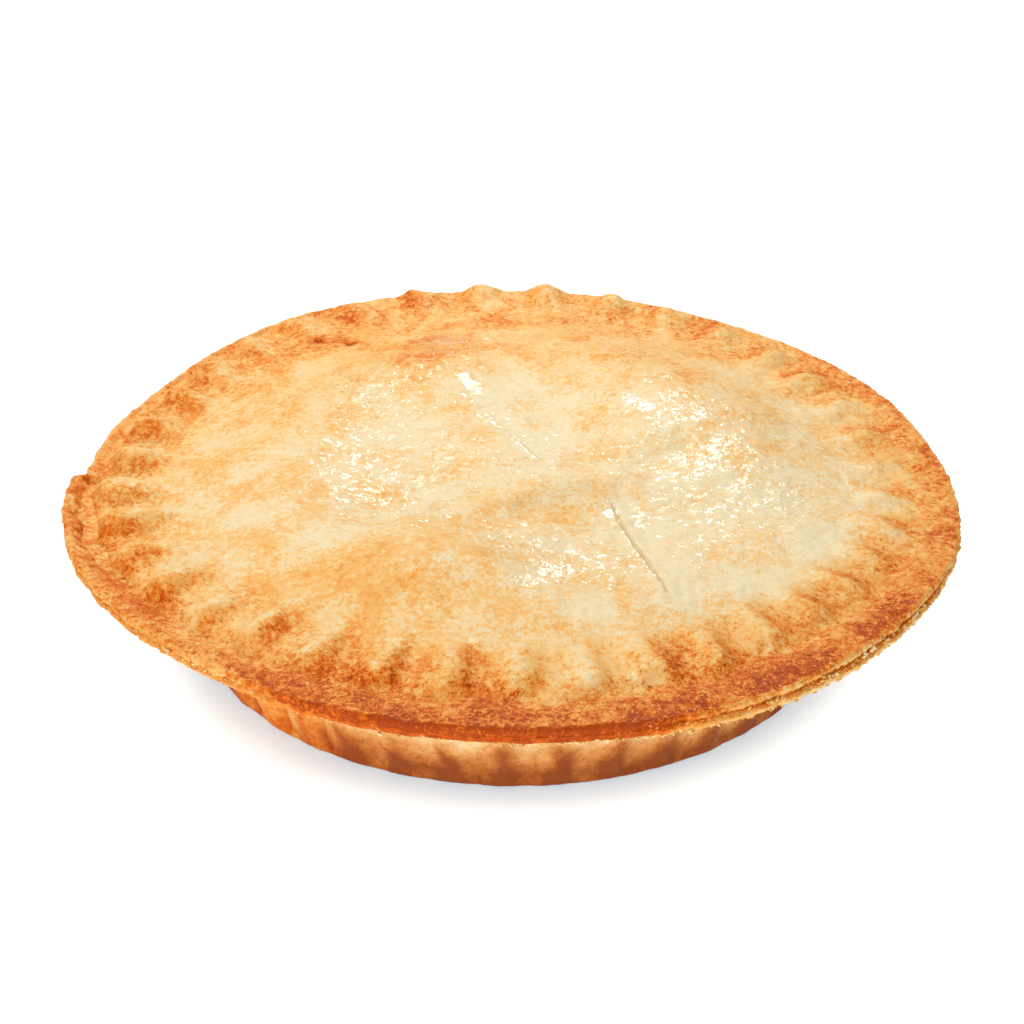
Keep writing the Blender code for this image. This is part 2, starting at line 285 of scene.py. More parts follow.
@dataclass(frozen=True)
class PieForm:
    """Named sizes of the pie, as in the solid, and the rules that follow from them."""

    rim_radius: float = 80.0
    base_radius: float = 60.2
    wall_top_radius: float = 67.0
    rim_underside: float = 23.4
    sheet: float = 1.5
    base_round: float = 2.2
    shift: tuple[float, float] = (0.48, 0.48)
    trim: float = 0.9974

    dome_rise: float = 6.2
    dome_foot: float = 70.0
    dome_shoulder: float = 36.0

    crimps: int = 37
    crimp_height: float = 1.95
    crimp_outer: float = 74.8
    crimp_fall: float = 3.0
    soft_fall: float = 5.0
    soft_angle: float = 5.0
    soft_spread: float = 50.0
    soft_groove: float = 0.85
    toe_round: float = 2.4
    crimp_length: float = 14.5
    crimp_fade: float = 9.0
    ring_offset: float = 3.4
    ring_heading: float = 118.0
    back_angle: float = 85.0
    back_spread: float = 38.0
    back_reach: float = 4.2
    first_crimp: float = 185.4
    crimp_drift: float = 2.75
    crimp_sharpness: float = 1.4
    bold_angle: float = 150.0
    bold_share: float = 0.40
    calm_angle: float = 119.0
    calm_spread: float = 13.0
    calm_share: float = 0.6
    uneven: float = 0.22
    unlike_start: float = 0.37
    unlike_step: float = 1.7

    groove_width: float = 2.0
    groove_depth: float = 0.9
    curl_angle: float = 194.0
    curl_spread: float = 13.0
    curl_height: float = 1.4
    curl_width: float = 4.5
    break_angle: float = 180.6
    break_depth: float = 2.0
    break_length: float = 16.0
    lower_angle: float = 312.0
    lower_spread: float = 24.0
    lower_reach: float = 0.7
    fused_angle: float = 264.0
    fused_half: float = 30.0
    fused_fade: float = 14.0

    reach_start: float = 60.0
    reach_waves: tuple[tuple[int, float, float], ...] = (
        (0, 0.28, 0.0), (1, -0.20, -0.20), (2, -0.25, 0.10), (3, 0.27, -0.09), (4, 0.30, 0.70),
        (5, -0.16, -0.52), (6, 0.15, 0.15), (7, -0.18, -0.20), (8, -0.07, -0.17))
    height_waves: tuple[tuple[int, float, float], ...] = ((1, -0.87, -0.09), (2, -0.98, 0.10))
    nibble: float = 0.35
    nibble_size: float = 3.8

    flutes: int = 42
    first_rib: float = 251.2
    flute_depth: float = 0.9
    flute_sharpness: float = 1.6

    swells: tuple[Swell, ...] = (
        Swell(-24.0, -3.0, 19.0, 12.0, 100.0, -3.2),
        Swell(-20.0, -18.0, 10.0, 6.0, 20.0, -2.2),
        Swell(29.0, -25.0, 23.0, 15.0, 15.0, -4.6),
        Swell(6.0, -36.0, 10.0, 8.0, 80.0, -1.6),
        Swell(5.0, 20.0, 21.0, 8.0, 110.0, -2.8),
        Swell(27.0, 0.0, 10.0, 3.2, 32.0, -1.3),
        Swell(-21.0, -40.0, 18.0, 7.5, 8.0, 2.8),
        Swell(-33.0, 32.0, 18.0, 10.0, 35.0, 0.9),
        Swell(31.0, 30.0, 20.0, 11.0, 150.0, 1.2),
        Swell(-17.0, -23.5, 2.6, 2.2, 0.0, 0.7))
    fold_points: tuple[tuple[float, float], ...] = (
        (-18.5, -27.0), (-8.0, -20.5), (2.7, -14.5), (18.7, -6.8))
    fold_height: float = 1.6
    fold_width: float = 4.0
    slits: tuple[Slit, ...] = (
        Slit((-10.3, 23.8), (4.5, -1.8), half_width=0.26, depth=0.30, step=0.45, lip_height=0.03, healed=0.0),
        Slit((16.7, -14.0), (25.6, -45.3), half_width=0.42, depth=0.42, step=0.20, lip_height=0.14))

    @property
    def level(self) -> float:
        """Height of the rim's flat top."""
        return self.rim_underside + 2.0 * self.sheet

    def waves(self, angle: Array, terms: Sequence[tuple[int, float, float]]) -> Array:
        """Sum of slow waves round the rim.

        Args:
            angle: angles in radians.
            terms: turns round the rim, cosine part and sine part of each wave.

        Returns:
            The sum at each angle.
        """
        return sum(c * np.cos(n * angle) + s * np.sin(n * angle) for n, c, s in terms)

    def turns(self, angle: Array) -> Array:
        """Crimp count at each angle: whole numbers on the crests."""
        turn = angle - math.radians(self.first_crimp)
        drift = math.radians(self.crimp_drift) * (1.0 - np.cos(turn))
        return self.crimps * (turn + drift) / math.tau

    def from_crest(self, angle: Array) -> Array:
        """How far each angle is past the nearest crest, from -0.5 to 0.5 of a crimp."""
        return (self.turns(angle) + 0.5) % 1.0 - 0.5

    def unlike(self, angle: Array, start: float) -> Array:
        """A share from -1 to 1 that differs from crimp to crimp.

        Args:
            angle: angles in radians.
            start: where the row of shares starts, for an independent row.

        Returns:
            The share of the crimp at each angle.
        """
        row = np.array([noise.noise(Vector((start + self.unlike_step * n, 0.5, 0.5)))
                        for n in range(self.crimps)])
        return row[np.round(self.turns(angle)).astype(int) % self.crimps]

    def crimp_end(self, angle: Array) -> Array:
        """Radius at which the crimps end and the lip begins."""
        offset = self.ring_offset * np.cos(angle - math.radians(self.ring_heading))
        return self.crimp_outer + offset + self.back_reach * near_angle(angle, self.back_angle, self.back_spread)

    def crimp(self, radius: Array, angle: Array) -> Array:
        """Height of the crimps over the rim's plane.

        Args:
            radius: distance from the pie's axis.
            angle: angles in radians.

        Returns:
            The height at each place.
        """
        uneven = 1.0 + self.uneven * self.unlike(angle, self.unlike_start)
        bold = 1.0 + self.bold_share * np.cos(angle - math.radians(self.bold_angle))
        bold *= 1.0 - self.calm_share * near_angle(angle, self.calm_angle, self.calm_spread)
        turn = self.from_crest(angle)
        end = self.crimp_end(angle) - self.toe_round * (2.0 * turn) ** 2
        fall = self.crimp_fall + self.soft_fall * near_angle(angle, self.soft_angle, self.soft_spread)
        outer = ease((end - radius) / fall)
        inner = ease((radius - end + self.crimp_length * uneven) / self.crimp_fade)
        ridge = (0.5 + 0.5 * np.cos(math.tau * turn)) ** self.crimp_sharpness
        return self.crimp_height * bold * uneven * outer * inner * ridge

    def curl(self, angle: Array) -> Array:
        """How far the lip curls up at an angle."""
        return self.curl_height * near_angle(angle, self.curl_angle, self.curl_spread)

    def lip(self, radius: Array, angle: Array) -> Array:
        """Height of the lip over the rim's plane, with the groove inside it.

        Args:
            radius: distance from the pie's axis.
            angle: angles in radians.

        Returns:
            The height at each place.
        """
        start = self.crimp_end(angle)
        outside = ease((radius - start) / self.curl_width)
        groove = np.exp(-((radius - start) / self.groove_width) ** 2)
        groove = groove * ease((self.rim_radius - radius) / self.groove_width)
        groove = groove * (1.0 - self.soft_groove * near_angle(angle, self.soft_angle, self.soft_spread))
        return self.curl(angle) * outside - self.groove_depth * groove

    def fold_share(self, x: Array, y: Array) -> Array:
        """1 on the fold's crest, falling off to its sides.

        Args:
            x: places on the lid.
            y: places on the lid.

        Returns:
            The share at each place.
        """
        gap = np.full(len(x), 99.0)
        for a, b in zip(self.fold_points, self.fold_points[1:]):
            run_x, run_y = b[0] - a[0], b[1] - a[1]
            share = ((x - a[0]) * run_x + (y - a[1]) * run_y) / (run_x ** 2 + run_y ** 2)
            share = np.clip(share, 0.0, 1.0)
            gap = np.minimum(gap, np.hypot(x - a[0] - share * run_x, y - a[1] - share * run_y))
        return np.exp(-(gap / self.fold_width) ** 2)

    def relief(self, x: Array, y: Array) -> Array:
        """Height of all the lid's swells, basins and the fold."""
        return self.fold_height * self.fold_share(x, y) + sum(s.height * s.share(x, y) for s in self.swells)

    def warp(self, radius: Array, angle: Array) -> Array:
        """Slow rise and fall of the whole rim."""
        return self.waves(angle, self.height_waves) * ease(radius / self.rim_radius)

    def lid_top(self, x: Array, y: Array) -> Array:
        """Height of the lid's smooth skin.

        Args:
            x: places on the lid.
            y: places on the lid.

        Returns:
            The height at each place.
        """
        radius, angle = np.hypot(x, y), np.arctan2(y, x)
        inside = ease((self.dome_foot - radius) / self.dome_shoulder)
        return (self.level + inside * (self.dome_rise + self.relief(x, y)) + self.crimp(radius, angle)
                + self.lip(radius, angle) + self.warp(radius, angle))

    def edge_lift(self, angle: Array) -> Array:
        """How far the cut edge stands over its plain circle at each angle."""
        rim = np.full(len(angle), self.rim_radius)
        return self.waves(angle, self.height_waves) + self.curl(angle) + self.crimp(rim, angle)

    def reach(self, angle: Array, lower: bool) -> Array:
        """How far a sheet's cut edge stands out or in from its plain circle.

        Args:
            angle: angles in radians.
            lower: whether this is the base crust's sheet.

        Returns:
            The distance at each angle.
        """
        before = -past(angle, self.break_angle)
        broken = np.where(before > 0.0, self.break_depth * ease(1.0 - before / self.break_length), 0.0)
        extra = self.lower_reach * near_angle(angle, self.lower_angle, self.lower_spread) if lower else 0.0
        return self.waves(angle, self.reach_waves) - broken + extra

    def fused(self, angle: Array) -> Array:
        """1 where the two sheets baked into one band, 0 where the seam between them is open."""
        return ease((self.fused_half - np.abs(past(angle, self.fused_angle))) / self.fused_fade)

    def rib(self, angle: Array, sharpness: float) -> Array:
        """1 on the wall's ribs and 0 half way between them."""
        phase = self.flutes * (angle - math.radians(self.first_rib))
        return (0.5 + 0.5 * np.cos(phase)) ** sharpness


# --------------------------------------------------------------------------
# Finishes
# --------------------------------------------------------------------------


def linear(code: str) -> tuple[float, float, float, float]:
    """Linear colour of an sRGB hex value.

    Args:
        code: six hex digits after a hash sign.

    Returns:
        Red, green, blue and alpha, linear.
    """
    shares = [int(code[i:i + 2], 16) / 255.0 for i in (1, 3, 5)]
    bare = [c / 12.92 if c <= 0.04045 else ((c + 0.055) / 1.055) ** 2.4 for c in shares]
    return (bare[0], bare[1], bare[2], 1.0)


class Kind(Enum):
    """Shader nodes that the finishes are made of."""

    PLACE = "ShaderNodeTexCoord"
    STORED = "ShaderNodeAttribute"
    CLOUDS = "ShaderNodeTexNoise"
    SUM = "ShaderNodeMath"
    VECTOR = "ShaderNodeVectorMath"
    RANGE = "ShaderNodeMapRange"
    BLEND = "ShaderNodeMix"
    RAMP = "ShaderNodeValToRGB"
    BUMP = "ShaderNodeBump"


def add_node(tree: bpy.types.NodeTree, kind: Kind, feeds: dict[Any, Any] | None = None,
             **settings: Any) -> bpy.types.Node:
    """Add a node with its settings and links.

    Args:
        tree: the tree it goes in.
        kind: the node's kind.
        feeds: input name or number to the socket or the value that feeds it.
        settings: the node's own settings.

    Returns:
        The new node.
    """
    node = tree.nodes.new(kind.value)
    for name, value in settings.items():
        setattr(node, name, value)
    for name, feed in (feeds or {}).items():
        if isinstance(feed, bpy.types.NodeSocket):
            tree.links.new(feed, node.inputs[name])
        else:
            node.inputs[name].default_value = feed
    return node


def per_metre(size: float) -> float:
    """Scale of a pattern whose parts are so many millimetres wide."""
    return 1.0 / (size * MM)


@dataclass(frozen=True)
class BakedPastry:
    """Shortcrust pastry baked golden: cream where it stayed pale, brown where it caught.

    The dough is rolled, brushed with glaze and baked, so the eye sees a matt,
    grainy crumb with golden flecks, and a thin broken film of dried glaze.
    Its mesh stores four shares: bake (browning, with painted shade and light on
    the crimps' flanks, in the lip's groove and on the fused edge band), wet
    (glaze), coarse (open crumb) and fleck (how many flecks).
    """

    name: str
    tones: tuple[tuple[float, str], ...]
    wall_tones: tuple[tuple[float, str], ...] = ()
    fleck_size: float = 1.0
    fleck_tone: float = 0.29
    crumb_size: float = 1.3
    crumb_swing: float = 1.2
    grain_size: float = 0.46
    burnt_colour: str = "#93420C"
    burnt_range: tuple[float, float] = (0.41, 0.29)
    pale_colour: str = "#F4B85C"
    pale_range: tuple[float, float] = (0.60, 0.74)
    cut_colour: str = "#CDB08A"
    crumb_height: float = 0.13
    film_size: float = 1.7
    film_height: float = 0.23
    ripple_size: float = 0.75
    ripple_height: float = 0.14
    patch_size: float = 1.4
    film_share: float = 0.8
    dry_roughness: float = 0.62
    wet_roughness: float = 0.45
    specular: float = 0.16

    def tone(self, tree: bpy.types.NodeTree, place: Any, stored: dict[str, Any]) -> tuple[Any, Any]:
        """How brown the crust is, with its flecks and crumb, and the painted shade and light in the browning share.

        Args:
            tree: the material's tree.
            place: socket with the place in metres.
            stored: name of each stored share to its socket.

        Returns:
            Socket with the tone, and socket with the crumb's grain about 0.
        """
        wisps = add_node(tree, Kind.CLOUDS, {"Vector": place, "Scale": per_metre(self.fleck_size), "Detail": 5.0,
                                             "Roughness": 0.78, "Distortion": 0.3}).outputs["Fac"]
        many = add_node(tree, Kind.SUM, {0: stored["fleck"], 1: 0.26, 2: wisps}, operation="MULTIPLY_ADD").outputs[0]
        flecked = add_node(tree, Kind.RANGE, {"Value": many, "From Min": 0.54, "From Max": 0.72},
                           interpolation_type="SMOOTHSTEP").outputs[0]
        tone = add_node(tree, Kind.SUM, {0: flecked, 1: self.fleck_tone, 2: stored["bake_and_shade"]},
                        operation="MULTIPLY_ADD").outputs[0]
        clouds = add_node(tree, Kind.CLOUDS, {"Vector": place, "Scale": per_metre(self.crumb_size), "Detail": 4.0,
                                              "Roughness": 0.80}).outputs["Fac"]
        grain = add_node(tree, Kind.SUM, {0: clouds, 1: 0.5}, operation="SUBTRACT").outputs[0]
        swing = add_node(tree, Kind.RANGE, {"Value": stored["coarse"], "To Min": 0.5 * self.crumb_swing,
                                            "To Max": self.crumb_swing}).outputs[0]
        tone = add_node(tree, Kind.SUM, {0: grain, 1: swing, 2: tone}, operation="MULTIPLY_ADD").outputs[0]
        return tone, grain

    def colour(self, tree: bpy.types.NodeTree, place: Any, tone: Any, coarse: Any) -> Any:
        """Colour of each tone, with burnt and pale grains in the open crumb.

        Args:
            tree: the material's tree.
            place: socket with the place in metres.
            tone: socket with the tone.
            coarse: socket with how open the crumb is.

        Returns:
            Socket with the colour.
        """
        shades = []
        for tones in filter(None, (self.tones, self.wall_tones)):
            ramp = add_node(tree, Kind.RAMP, {"Fac": tone})
            points = ramp.color_ramp.elements
            points.remove(points[1])
            points[0].position, points[0].color = tones[0][0], linear(tones[0][1])
            for stop, code in tones[1:]:
                points.new(stop).color = linear(code)
            shades.append(ramp.outputs["Color"])
        colour = shades[0]
        if self.wall_tones:
            wall = add_node(tree, Kind.STORED, attribute_name="wall").outputs["Fac"]
            colour = add_node(tree, Kind.BLEND, {0: wall, 6: colour, 7: shades[1]}, data_type="RGBA").outputs[2]
        speck = add_node(tree, Kind.CLOUDS, {"Vector": place, "Scale": per_metre(self.grain_size), "Detail": 1.5,
                                             "Roughness": 0.6}).outputs["Fac"]
        toasted = add_node(tree, Kind.RANGE, {"Value": tone, "From Min": 0.30, "From Max": 0.58}).outputs[0]
        toasted = add_node(tree, Kind.SUM, {0: toasted, 1: coarse}, operation="MULTIPLY").outputs[0]
        for code, mark, full in ((self.burnt_colour, *self.burnt_range), (self.pale_colour, *self.pale_range)):
            picked = add_node(tree, Kind.RANGE, {"Value": speck, "From Min": mark, "From Max": full},
                              interpolation_type="SMOOTHSTEP").outputs[0]
            share = add_node(tree, Kind.SUM, {0: picked, 1: toasted}, operation="MULTIPLY").outputs[0]
            colour = add_node(tree, Kind.BLEND, {0: share, 6: colour, 7: linear(code)},
                              data_type="RGBA").outputs[2]
        cut = add_node(tree, Kind.STORED, attribute_name="cut").outputs["Fac"]
        return add_node(tree, Kind.BLEND, {0: cut, 6: colour, 7: linear(self.cut_colour)},
                        data_type="RGBA").outputs[2]

    def normal(self, tree: bpy.types.NodeTree, place: Any, grain: Any, coarse: Any) -> tuple[Any, Any]:
        """Fine relief: the crust's own, and that of the glaze which dried in ripples on it.

        Args:
            tree: the material's tree.
            place: socket with the place in metres.
            grain: socket with the crumb's grain.
            coarse: socket with how open the crumb is.

        Returns:
            Sockets with the crust's direction and with the glaze's.
        """
        film = add_node(tree, Kind.CLOUDS, {"Vector": place, "Scale": per_metre(self.film_size), "Detail": 3.0,
                                            "Roughness": 0.55}).outputs["Fac"]
        crumb = add_node(tree, Kind.SUM, {0: grain, 1: coarse}, operation="MULTIPLY").outputs[0]
        height = add_node(tree, Kind.SUM, {0: crumb, 1: self.crumb_height / self.film_height, 2: film},
                          operation="MULTIPLY_ADD").outputs[0]
        crust = add_node(tree, Kind.BUMP, {"Height": height, "Strength": 1.0,
                                           "Distance": self.film_height * MM}).outputs["Normal"]
        ripples = add_node(tree, Kind.CLOUDS, {"Vector": place, "Scale": per_metre(self.ripple_size), "Detail": 2.0,
                                               "Roughness": 0.5}).outputs["Fac"]
        glaze = add_node(tree, Kind.BUMP, {"Height": ripples, "Strength": 1.0, "Distance": self.ripple_height * MM,
                                           "Normal": crust}).outputs["Normal"]
        return crust, glaze

    def material(self) -> bpy.types.Material:
        """Build the finish.

        Returns:
            The material.
        """
        material = bpy.data.materials.new(self.name)
        material.use_nodes = True
        tree = material.node_tree
        shader = tree.nodes["Principled BSDF"]
        place = add_node(tree, Kind.PLACE).outputs["Object"]
        stored = {name: add_node(tree, Kind.STORED, attribute_name=name).outputs["Fac"]
                  for name in ("bake_and_shade", "wet", "coarse", "fleck")}
        tone, grain = self.tone(tree, place, stored)
        colour = self.colour(tree, place, tone, stored["coarse"])
        crust, glaze = self.normal(tree, place, grain, stored["coarse"])
        patches = add_node(tree, Kind.CLOUDS, {"Vector": place, "Scale": per_metre(self.patch_size),
                                               "Detail": 3.0}).outputs["Fac"]
        broken = add_node(tree, Kind.SUM, {0: patches, 1: 0.9, 2: stored["wet"]}, operation="MULTIPLY_ADD").outputs[0]
        film = add_node(tree, Kind.RANGE, {"Value": broken, "From Min": 0.77, "From Max": 0.84,
                                           "To Max": self.film_share}, interpolation_type="SMOOTHSTEP").outputs[0]
        matt = add_node(tree, Kind.RANGE, {"Value": film, "To Min": self.dry_roughness,
                                           "To Max": self.wet_roughness}).outputs[0]
        for name, socket in (("Base Color", colour), ("Roughness", matt), ("Normal", crust),
                             ("Coat Normal", glaze), ("Coat Weight", film)):
            tree.links.new(socket, shader.inputs[name])
        for name, value in (("Coat Roughness", 0.06), ("Coat IOR", 1.5), ("IOR", 1.45),
                            ("Specular IOR Level", self.specular), ("Subsurface Weight", 0.10),
                            ("Subsurface Radius", (1.0, 0.55, 0.25)), ("Subsurface Scale", 1.2 * MM)):
            shader.inputs[name].default_value = value
        return material


LID_TONES = ((0.0, "#EAD9B0"), (0.12, "#EBD0A0"), (0.25, "#ECC687"), (0.38, "#EDB96E"),
             (0.50, "#EBA754"), (0.62, "#E5903A"), (0.74, "#DC741A"), (0.86, "#C95604"), (1.0, "#A43C00"))

LID_FINISH = BakedPastry(name="shortcrust lid glazed and baked", tones=LID_TONES)

BASE_FINISH = BakedPastry(
    name="shortcrust wall baked in foil",
    tones=LID_TONES,
    wall_tones=((0.0, "#EFE3C8"), (0.2, "#EBD4AA"), (0.4, "#DFB27A"), (0.6, "#CE8A48"),
                (0.8, "#AE6024"), (1.0, "#8A4012")),
    fleck_tone=0.12, crumb_swing=0.7, crumb_height=0.07, dry_roughness=0.66)

CRUMB_FINISH = BakedPastry(
    name="broken shortcrust crumb",
    tones=((0.0, "#F6E3B4"), (0.3, "#F0C878"), (0.6, "#E39C40"), (1.0, "#B25A14")),
    fleck_tone=0.10, crumb_height=0.05, dry_roughness=0.7)


# --------------------------------------------------------------------------
# Mesh helpers
# --------------------------------------------------------------------------


def new_piece(name: str, shape: bmesh.types.BMesh, finish: bpy.types.Material) -> bpy.types.Object:
    """Make a shown, smooth-shaded object of a bmesh, and free the bmesh.

    Args:
        name: the piece's name.
        shape: its mesh.
        finish: its material.

    Returns:
        The object, at the origin.
    """
    mesh = bpy.data.meshes.new(name)
    shape.to_mesh(mesh)
    shape.free()
    mesh.materials.append(finish)
    mesh.polygons.foreach_set("use_smooth", np.ones(len(mesh.polygons), bool))
    piece = bpy.data.objects.new(name, mesh)
    bpy.context.scene.collection.objects.link(piece)
    return piece


def places(mesh: bpy.types.Mesh) -> Array:
    """The mesh's points, one row each."""
    flat = np.empty(len(mesh.vertices) * 3)
    mesh.vertices.foreach_get("co", flat)
    return flat.reshape(-1, 3)


def set_places(mesh: bpy.types.Mesh, points: Array) -> None:
    """Move the mesh's points."""
    mesh.vertices.foreach_set("co", points.ravel())
    mesh.update()


def set_share(mesh: bpy.types.Mesh, name: str, values: Array) -> None:
    """Store one number from 0 to 1 at each point for the material to read."""
    layer = mesh.attributes.new(name, "FLOAT", "POINT")
    layer.data.foreach_set("value", np.clip(values, 0.0, 1.0).astype(np.float32))


def stations(mesh: bpy.types.Mesh) -> Array:
    """The station number that was stored at each point."""
    numbers = np.empty(len(mesh.vertices), np.int32)
    mesh.attributes["station"].data.foreach_get("value", numbers)
    return numbers


# --------------------------------------------------------------------------
# The pie's pieces
# --------------------------------------------------------------------------


@dataclass
class LidSheet:
    """The upper sheet of pastry: domed lid, crimps, lip and its cut edge."""

    form: PieForm
    grain: Grain
    cells: int = 280
    flat_margin: float = 0.9
    edge_steps: tuple[tuple[float, float], ...] = (
        (0.48, -0.07), (0.16, -0.26), (0.0, -0.60), (0.06, -0.95), (0.22, -1.25), (0.75, -1.50))
    under_radius: float = 70.0
    slit_refine: tuple[float, ...] = (1.8, 1.0)
    ceiling: float = 33.72
    pits: tuple[Swell, ...] = (
        Swell(-39.7, 54.8, 0.9, 0.6, 20.0, -0.7),
        Swell(-33.5, 52.6, 0.8, 0.6, 0.0, -0.6),
        Swell(-75.2, -12.5, 0.9, 0.6, 70.0, -0.5),
        Swell(-74.0, -19.5, 0.8, 0.5, 60.0, -0.4),
        Swell(-71.0, -25.5, 0.7, 0.5, 40.0, -0.4))
    tints: tuple[Swell, ...] = (
        Swell(-16.0, 40.0, 6.0, 5.0, 0.0, 0.10),
        Swell(-24.0, -43.0, 14.0, 4.0, -12.0, 0.08),
        Swell(-29.0, -27.0, 10.0, 3.5, -20.0, -0.10),
        Swell(-45.0, -35.0, 6.0, 5.0, 0.0, -0.06),
        Swell(44.0, -18.0, 14.0, 10.0, 60.0, -0.12),
        Swell(4.0, -50.0, 12.0, 5.0, 0.0, -0.08),
        Swell(14.0, -68.0, 6.0, 4.0, 0.0, -0.17),
        Swell(14.0, -57.0, 9.0, 3.5, 0.0, 0.08),
        Swell(-21.0, -68.0, 9.0, 3.5, -15.0, 0.08),
        Swell(5.0, 60.0, 12.0, 6.0, 0.0, 0.07),
        Swell(44.0, -55.0, 7.0, 4.0, 40.0, -0.10),
        Swell(58.0, -8.0, 14.0, 6.0, 85.0, -0.06),
        Swell(-38.0, 54.0, 4.5, 2.5, 20.0, 0.14),
        Swell(-10.0, 12.0, 9.0, 3.0, 118.0, 0.10),
        Swell(6.0, 8.0, 14.0, 4.0, 100.0, -0.08),
        Swell(-12.0, -20.0, 10.0, 3.0, 30.0, -0.15))
    pools: tuple[Swell, ...] = (
        Swell(40.0, 2.0, 19.0, 22.0, 0.0, 0.29), Swell(-21.0, -4.0, 16.0, 17.0, 0.0, 0.26),
        Swell(-14.0, 50.0, 8.0, 10.0, 0.0, 0.28), Swell(8.0, -36.0, 12.0, 8.0, 0.0, 0.20),
        Swell(-30.0, 27.0, 12.0, 7.0, 30.0, 0.22), Swell(20.0, 54.0, 12.0, 7.0, 0.0, 0.25))
    glints: tuple[Swell, ...] = (
        Swell(-26.0, 23.0, 1.6, 1.0, 20.0, 0.45),
        Swell(-9.0, 27.0, 2.6, 1.0, 120.0, 0.6), Swell(-16.0, -19.0, 2.6, 1.1, 25.0, 0.4),
        Swell(23.0, 17.0, 2.4, 1.2, 140.0, 0.35), Swell(50.0, 17.0, 1.8, 1.2, 100.0, 0.3),
        Swell(22.0, -19.0, 1.8, 0.9, 106.0, 0.5), Swell(49.0, -10.0, 2.6, 1.3, 75.0, 0.4),
        Swell(7.0, -39.0, 1.8, 1.2, 0.0, 0.4), Swell(1.0, -44.0, 1.6, 1.0, 0.0, 0.4),
        Swell(16.5, -17.5, 1.4, 0.8, 106.0, 0.6), Swell(-7.0, -59.0, 1.2, 0.8, 0.0, 0.4),
        Swell(18.0, -66.0, 1.2, 0.8, 0.0, 0.4))

    def blank(self) -> bmesh.types.BMesh:
        """The flat sheet: a square grid drawn out to a disc, with its edge turned down.

        Returns:
            The sheet's closed mesh in millimetres, with a station on every point.
        """
        sheet = bmesh.new()
        bmesh.ops.create_grid(sheet, x_segments=self.cells, y_segments=self.cells, size=1.0)
        station = sheet.verts.layers.int.new("station")
        disc = self.form.rim_radius - self.flat_margin
        for vert in sheet.verts:
            vert.co = Vector(self.to_disc(vert.co.x, vert.co.y)) * disc
            vert.co.z = self.form.level
        self.refine_slits(sheet)
        rim = [edge for edge in sheet.edges if edge.is_boundary]
        for inset, drop in self.edge_steps:
            rim = self.extrude_ring(sheet, rim, self.form.rim_radius - inset, self.form.level + drop,
                                    station, Station.EDGE)
        bottom = self.form.level - self.form.sheet
        rim = self.extrude_ring(sheet, rim, self.under_radius, bottom, station, Station.UNDER)
        middle = bmesh.ops.contextual_create(sheet, geom=rim)["faces"]
        bmesh.ops.poke(sheet, faces=middle)
        for vert in sheet.verts:
            if abs(vert.co.x) + abs(vert.co.y) < 0.01 and vert.co.z < bottom + 0.01:
                vert[station] = Station.UNDER.value
        bmesh.ops.recalc_face_normals(sheet, faces=sheet.faces)
        return sheet

    @staticmethod
    def to_disc(u: float, v: float) -> tuple[float, float, float]:
        """Where a point of the square from -1 to 1 goes on the disc.

        Args:
            u: place in the square.
            v: place in the square.

        Returns:
            Place on the disc of radius 1, as x, y and 0.
        """
        if abs(u) < 1e-9 and abs(v) < 1e-9:
            return (0.0, 0.0, 0.0)
        if abs(u) > abs(v):
            radius, angle = u, math.pi / 4.0 * v / u
        else:
            radius, angle = v, math.pi / 2.0 - math.pi / 4.0 * u / v
        return (radius * math.cos(angle), radius * math.sin(angle), 0.0)

    def refine_slits(self, sheet: bmesh.types.BMesh) -> None:
        """Halve the faces round each slit, so that its lips come out crisp.

        Args:
            sheet: the flat sheet.
        """
        for slit, reach in itertools.product(self.form.slits, self.slit_refine):
            middles = np.array([0.5 * (edge.verts[0].co + edge.verts[1].co) for edge in sheet.edges])
            along, across = slit.place(middles[:, 0], middles[:, 1])
            near = (np.abs(across) < reach) & (np.abs(along) < 1.06)
            close = list(itertools.compress(sheet.edges, near))
            bmesh.ops.subdivide_edges(sheet, edges=close, cuts=1, use_grid_fill=True)

    @staticmethod
    def extrude_ring(sheet: bmesh.types.BMesh, rim: list[bmesh.types.BMEdge], radius: float, height: float,
                     layer: Any, station: Station) -> list[bmesh.types.BMEdge]:
        """Draw the sheet's boundary on to a new ring.

        Args:
            sheet: the sheet.
            rim: its boundary.
            radius: the new ring's radius.
            height: the new ring's height.
            layer: where stations are stored.
            station: the new ring's station.

        Returns:
            The new boundary.
        """
        made = bmesh.ops.extrude_edge_only(sheet, edges=rim)["geom"]
        for vert in (item for item in made if isinstance(item, bmesh.types.BMVert)):
            out = vert.co.xy.normalized() * radius
            vert.co = (out.x, out.y, height)
            vert[layer] = station.value
        return [item for item in made if isinstance(item, bmesh.types.BMEdge)]

    def build(self, finish: bpy.types.Material) -> bpy.types.Object:
        """Make the sheet, shape it and store what its finish reads.

        Args:
            finish: its material.

        Returns:
            The finished piece.
        """
        piece = new_piece("lid_sheet", self.blank(), finish)
        mesh = piece.data
        flat = places(mesh)
        station = stations(mesh)
        shaped = self.shape(flat, station)
        for name, values in self.tones(flat, station, shaped).items():
            set_share(mesh, name, values)
        set_places(mesh, to_frame(shaped, self.form))
        return piece

    def strayed(self, flat: Array) -> tuple[Array, Array]:
        """Places on the lid moved a little, so that no form is drawn too true.

        Args:
            flat: points of the blank.

        Returns:
            The moved x and y.
        """
        ground = flat * np.array([1.0, 1.0, 0.0])
        return (flat[:, 0] + 0.9 * self.grain.rough(ground + 7.0, 9.0, 2),
                flat[:, 1] + 0.9 * self.grain.rough(ground + 91.0, 9.0, 2))

